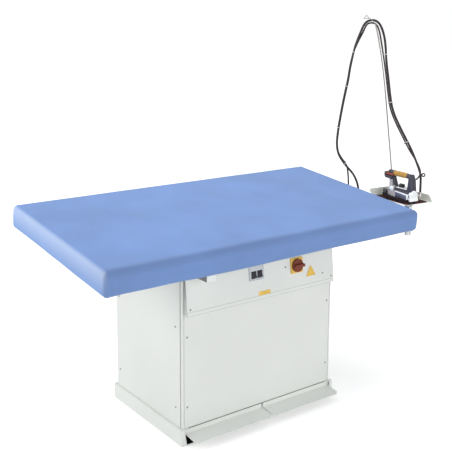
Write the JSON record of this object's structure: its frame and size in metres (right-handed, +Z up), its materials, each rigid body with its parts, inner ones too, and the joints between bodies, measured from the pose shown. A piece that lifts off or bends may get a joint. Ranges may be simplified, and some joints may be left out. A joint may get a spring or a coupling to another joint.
{
  "type": "vacuum ironing table",
  "caption": "Professional ironing table: sloped padded vacuum top on a sheet metal cabinet, with foot pedals, switch panel, steam iron on a side tray and a hose pole.",
  "frame": {"origin": "on the floor under the middle of the cabinet, on the underside of the plinth's cross strip", "axes": "+X to the operator's right, along the board; +Y away from the operator; +Z up"},
  "size_m": [1.7897, 0.8165, 1.7025],
  "materials": {
    "cover_fabric": "woven, matt blue",
    "padding": "felt and foam",
    "cabinet_paint": "light grey powder coat",
    "pedal_paint": "grey powder coat",
    "zinc_steel": "zinc plated",
    "machined_steel": "machined",
    "element_steel": "heat darkened",
    "chrome": "polished",
    "cast_aluminium": "cast, satin",
    "sole_metal": "dark, satin",
    "motor_paint": "dark grey enamel",
    "brass": "plain",
    "tank_plastic": "natural white",
    "grey_plastic": "light grey",
    "dark_plastic": "near black",
    "rocker_plastic": "black",
    "bezel_plastic": "clear, bluish",
    "knob_plastic": "red-brown",
    "plate_plastic": "yellow ochre",
    "handle_plastic": "anthracite",
    "cork": "cork",
    "mat_silicone": "matt black",
    "hose_rubber": "braided black",
    "cable_rubber": "textile covered",
    "tie_plastic": "white"
  },
  "bodies": {
    "base": {"table_cover": "cover_fabric", "board_padding": "padding", "perforated_sheet": "zinc_steel", "vacuum_pan": "zinc_steel", "heating_element": "element_steel", "suction_duct": "zinc_steel", "pan_rails": "zinc_steel", "cross_rails": "cabinet_paint", "plinth_sides": "cabinet_paint", "plinth_cross_strips": "cabinet_paint", "base_deck": "zinc_steel", "corner_posts": "cabinet_paint", "side_panel_left": "cabinet_paint", "side_panel_right": "cabinet_paint", "rear_panel": "cabinet_paint", "lower_front_panel": "cabinet_paint", "control_panel": "cabinet_paint", "panel_screws": "zinc_steel", "support_beam": "cabinet_paint", "main_switch_plate": "plate_plastic", "rocker_bezel": "bezel_plastic", "pedal_shaft": "machined_steel", "pedal_hangers": "zinc_steel", "pedal_springs": "machined_steel", "pedal_switches": "dark_plastic", "fan_motor": "motor_paint", "fan_housing": "zinc_steel", "boiler": "machined_steel", "boiler_cradle": "zinc_steel", "boiler_valves": "brass", "water_tank": "tank_plastic", "feed_pump": "motor_paint", "contactor_box": "grey_plastic", "hose_glands": "dark_plastic", "rest_arm": "zinc_steel", "rest_post": "chrome", "rest_carrier": "zinc_steel", "rest_tray": "zinc_steel", "rest_mat": "mat_silicone", "hose_pole": "chrome", "steam_hose_rise": "hose_rubber", "steam_hose_drop": "hose_rubber", "iron_cable_rise": "cable_rubber", "iron_cable_drop": "cable_rubber", "ties_rise": "tie_plastic", "ties_drop": "tie_plastic"},
    "fan_rotor": {"fan_shaft": "machined_steel", "fan_impeller": "cast_aluminium"},
    "main_knob": {"main_switch_knob": "knob_plastic"},
    "fan_rocker": {"rocker_left": "rocker_plastic"},
    "boiler_rocker": {"rocker_right": "rocker_plastic"},
    "left_pedal": {"pedal_left": "pedal_paint"},
    "right_pedal": {"pedal_right": "pedal_paint"},
    "iron": {"iron_sole": "sole_metal", "iron_body": "cast_aluminium", "iron_handle": "handle_plastic", "iron_grip": "cork", "iron_inlet": "chrome"},
    "steam_button": {"iron_button": "knob_plastic"},
    "heat_dial": {"iron_dial": "dark_plastic"}
  },
  "joints": [
    {"name": "fan_spin", "type": "hinge", "parent": "base", "child": "fan_rotor", "pos_m": [0.06, 0, 0.3], "axis": [0, 0, 1], "continuous": true},
    {"name": "main_switch_turn", "type": "hinge", "parent": "base", "child": "main_knob", "pos_m": [0.1756, -0.27825, 0.652], "axis": [0, -0.9951, 0.099], "range_deg": [0, 90]},
    {"name": "left_rocker_tip", "type": "hinge", "parent": "base", "child": "fan_rocker", "pos_m": [-0.0575, -0.27835, 0.651], "axis": [1, 0, 0], "range_deg": [0, 16]},
    {"name": "right_rocker_tip", "type": "hinge", "parent": "base", "child": "boiler_rocker", "pos_m": [-0.0265, -0.27835, 0.651], "axis": [1, 0, 0], "range_deg": [0, 16]},
    {"name": "left_pedal_press", "type": "hinge", "parent": "base", "child": "left_pedal", "pos_m": [0, -0.234, 0.05], "axis": [1, 0, 0], "range_deg": [0, 8], "stiffness_Nm_per_rad": 8, "springref_deg": -20.05},
    {"name": "right_pedal_press", "type": "hinge", "parent": "base", "child": "right_pedal", "pos_m": [0, -0.234, 0.05], "axis": [1, 0, 0], "range_deg": [0, 8], "stiffness_Nm_per_rad": 8, "springref_deg": -20.05},
    {"name": "iron_lift", "type": "slide", "parent": "base", "child": "iron", "axis": [0, 0, 1], "range_m": [0, 0.15], "deforming": ["steam_hose_drop", "iron_cable_drop", "ties_drop"]},
    {"name": "steam_button_press", "type": "slide", "parent": "iron", "child": "steam_button", "axis": [0, 0, -1], "range_m": [0, 0.003], "stiffness_N_per_m": 600, "springref_m": -0.004},
    {"name": "heat_dial_turn", "type": "hinge", "parent": "iron", "child": "heat_dial", "pos_m": [0.88289, -0.2219, 0.895], "axis": [0, 0, 1], "range_deg": [0, 270]}
  ]
}
